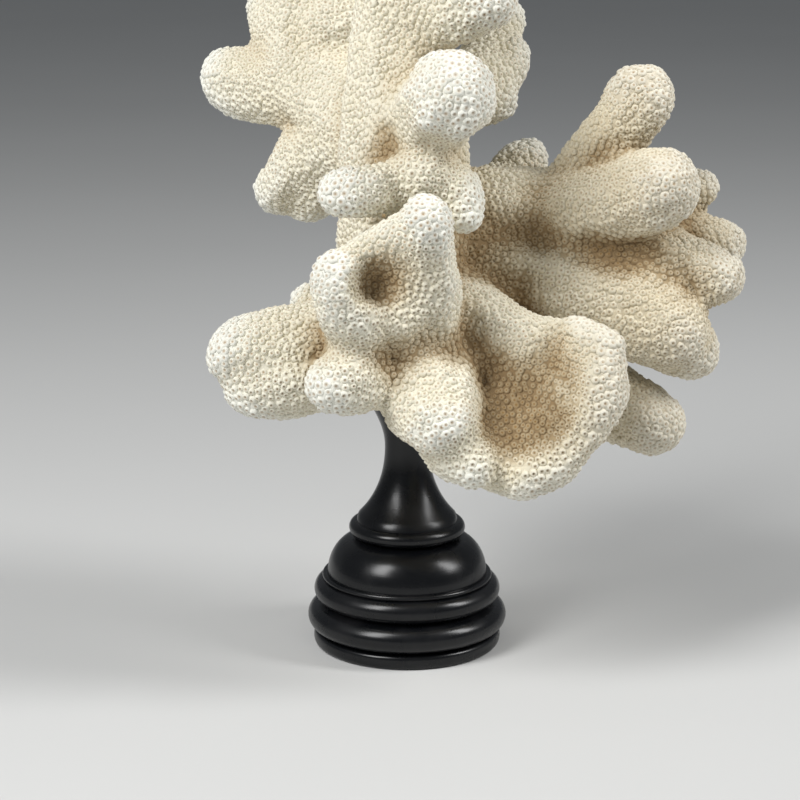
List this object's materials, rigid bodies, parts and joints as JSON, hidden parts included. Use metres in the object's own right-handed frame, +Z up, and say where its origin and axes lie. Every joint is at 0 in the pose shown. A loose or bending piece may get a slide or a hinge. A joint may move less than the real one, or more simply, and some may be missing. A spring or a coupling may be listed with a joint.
{
  "type": "branching coral on a stand",
  "caption": "White branching coral of blunt, fused fingers with a cup-pitted surface, its foot cut flat and resting on a slim turned pedestal of black lacquered wood.",
  "frame": {"origin": "centre of the pedestal's flat underside, on the surface that it stands on", "axes": "+Z up along the pedestal's turned axis, -Y towards the front, +X to the right seen from the front"},
  "size_m": [0.1871, 0.1391, 0.2687],
  "materials": {
    "coral": "matt, porous, cream white",
    "lacquered_wood": "satin black lacquer"
  },
  "bodies": {
    "root": {"pedestal": "lacquered_wood", "trunk": "coral", "front_branch": "coral", "left_branch": "coral", "fan": "coral", "right_branch": "coral", "lower_right_branch": "coral", "back_left_branch": "coral", "upper_right_branch": "coral", "crown": "coral"}
  },
  "joints": []
}
